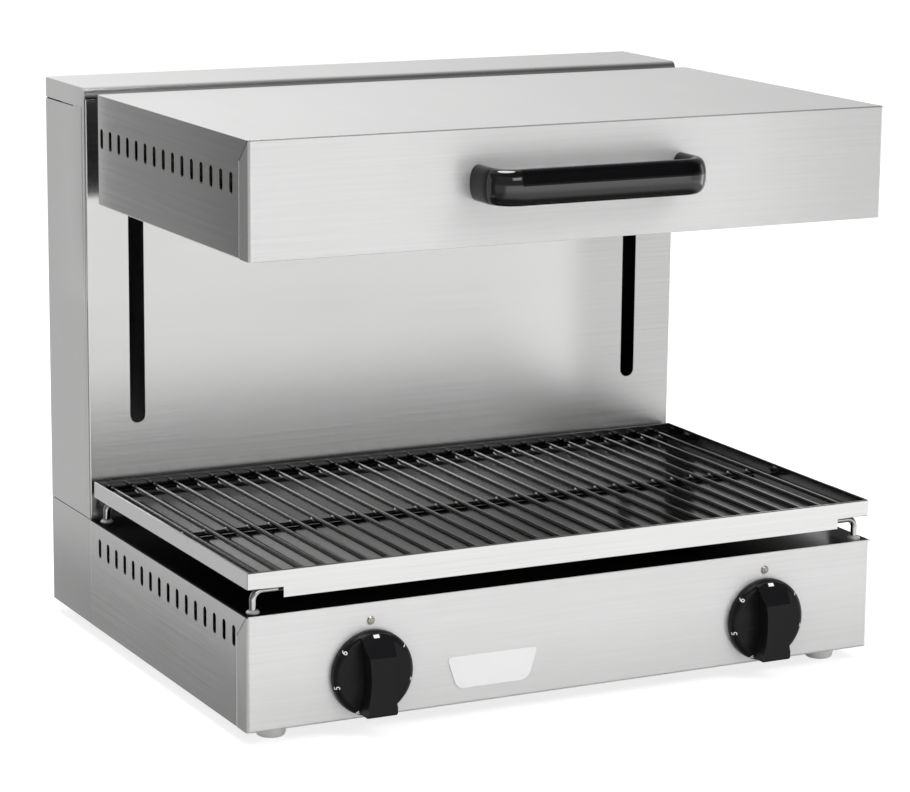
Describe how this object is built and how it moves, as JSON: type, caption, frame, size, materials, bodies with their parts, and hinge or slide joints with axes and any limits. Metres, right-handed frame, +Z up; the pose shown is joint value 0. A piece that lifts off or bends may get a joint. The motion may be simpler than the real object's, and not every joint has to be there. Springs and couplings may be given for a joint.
{
  "type": "electric salamander grill",
  "caption": "Counter-top electric salamander grill: a counterbalanced heating hood slides on a rear column over a drip tray with a wire grid.",
  "frame": {"origin": "centre of the machine's footprint box, from the cable gland to the handle, on the worktop under the feet", "axes": "+X to the right of someone facing the controls, +Y to the rear, +Z up"},
  "size_m": [0.6, 0.518, 0.499],
  "materials": {
    "stainless": "brushed along the width",
    "plain_sheet": "dull rolled sheet",
    "tray_steel": "satin stainless",
    "bright_wire": "bright nickel-chrome plate",
    "collar_steel": "dull steel",
    "element_sheath": "heat-darkened sheath",
    "reflector_sheet": "polished stainless",
    "mineral_wool": "pressed mineral wool",
    "ceramic": "glazed ceramic",
    "structure_steel": "zinc and grey primer",
    "ground_steel": "ground and polished",
    "weight_iron": "rough black",
    "carriage_metal": "sawn and milled",
    "bronze": "sintered bronze",
    "nylon": "natural nylon",
    "fastener_zinc": "zinc plate",
    "handle_black": "gloss phenolic",
    "knob_black": "satin phenolic",
    "foot_grey": "moulded grey plastic",
    "buffer_rubber": "moulded rubber",
    "bezel_metal": "plated",
    "lens_amber": "amber lens",
    "plate_white": "plain white plate",
    "regulator_case": "moulded thermoset",
    "gland_black": "moulded nylon"
  },
  "bodies": {
    "cabinet": {"base_bottom": "plain_sheet", "base_side_left": "stainless", "base_side_right": "stainless", "control_panel": "stainless", "base_top": "stainless", "rear_panel": "plain_sheet", "panel_screws": "fastener_zinc", "lower_side_left": "stainless", "lower_side_right": "stainless", "column_side_left": "stainless", "column_side_right": "stainless", "column_front": "stainless", "column_cap": "stainless", "feet": "foot_grey", "foot_screws": "fastener_zinc", "tray_rod_front": "bright_wire", "tray_rod_rear": "bright_wire", "rod_collars": "collar_steel", "guide_rods": "ground_steel", "rod_sockets": "structure_steel", "top_beam": "structure_steel", "pulley_brackets": "structure_steel", "pulley_pins": "ground_steel", "cable_left": "ground_steel", "cable_right": "ground_steel", "weight_rods": "ground_steel", "weight_buffers": "buffer_rubber", "regulator_left": "regulator_case", "regulator_right": "regulator_case", "regulator_screws": "fastener_zinc", "lamp_bezels": "bezel_metal", "lamp_lenses": "lens_amber", "badge_plate": "plate_white", "terminal_block": "ceramic", "cable_gland": "gland_black"},
    "hood": {"hood_shell": "stainless", "hood_front": "stainless", "reflector": "reflector_sheet", "insulation": "mineral_wool", "element_left": "element_sheath", "element_right": "element_sheath", "element_bushings": "ceramic", "element_supports": "plain_sheet", "handle": "handle_black", "handle_screws": "fastener_zinc", "arm_left": "structure_steel", "arm_right": "structure_steel", "arm_bolts": "fastener_zinc", "carriage_left": "carriage_metal", "carriage_right": "carriage_metal", "carriage_bushes": "bronze"},
    "counterweight": {"counterweight": "weight_iron"},
    "pulley_left": {"pulley_left": "nylon"},
    "pulley_right": {"pulley_right": "nylon"},
    "tray": {"drip_tray": "tray_steel"},
    "grid": {"wire_grid": "bright_wire"},
    "knob_left": {"knob_left": "knob_black", "knob_shaft_left": "ground_steel"},
    "knob_right": {"knob_right": "knob_black", "knob_shaft_right": "ground_steel"}
  },
  "joints": [
    {"name": "hood_slide", "type": "slide", "parent": "cabinet", "child": "hood", "axis": [0, 0, 1], "range_m": [-0.215, 0], "deforming": ["cable_left", "cable_right"]},
    {"name": "counterweight_slide", "type": "slide", "parent": "cabinet", "child": "counterweight", "axis": [0, 0, 1], "range_m": [0, 0.215]},
    {"name": "pulley_left_turn", "type": "hinge", "parent": "cabinet", "child": "pulley_left", "pos_m": [-0.205, 0.184, 0.464], "axis": [0, 1, 0], "range_deg": [-616, 0]},
    {"name": "pulley_right_turn", "type": "hinge", "parent": "cabinet", "child": "pulley_right", "pos_m": [0.205, 0.184, 0.464], "axis": [0, 1, 0], "range_deg": [0, 616]},
    {"name": "tray_slide", "type": "slide", "parent": "cabinet", "child": "tray", "axis": [0, -1, 0], "range_m": [-0.0045, 0.16]},
    {"name": "grid_lift", "type": "slide", "parent": "tray", "child": "grid", "axis": [0, 0, 1], "range_m": [0, 0.03]},
    {"name": "knob_left_turn", "type": "hinge", "parent": "cabinet", "child": "knob_left", "pos_m": [-0.19, -0.212, 0.051], "axis": [0, -1, 0], "continuous": true},
    {"name": "knob_right_turn", "type": "hinge", "parent": "cabinet", "child": "knob_right", "pos_m": [0.19, -0.212, 0.051], "axis": [0, -1, 0], "continuous": true}
  ],
  "couplings": [
    {"joint": "counterweight_slide", "follows": "hood_slide", "ratio": -1},
    {"joint": "pulley_left_turn", "follows": "hood_slide", "rad_per_m": 50},
    {"joint": "pulley_right_turn", "follows": "hood_slide", "rad_per_m": -50}
  ]
}
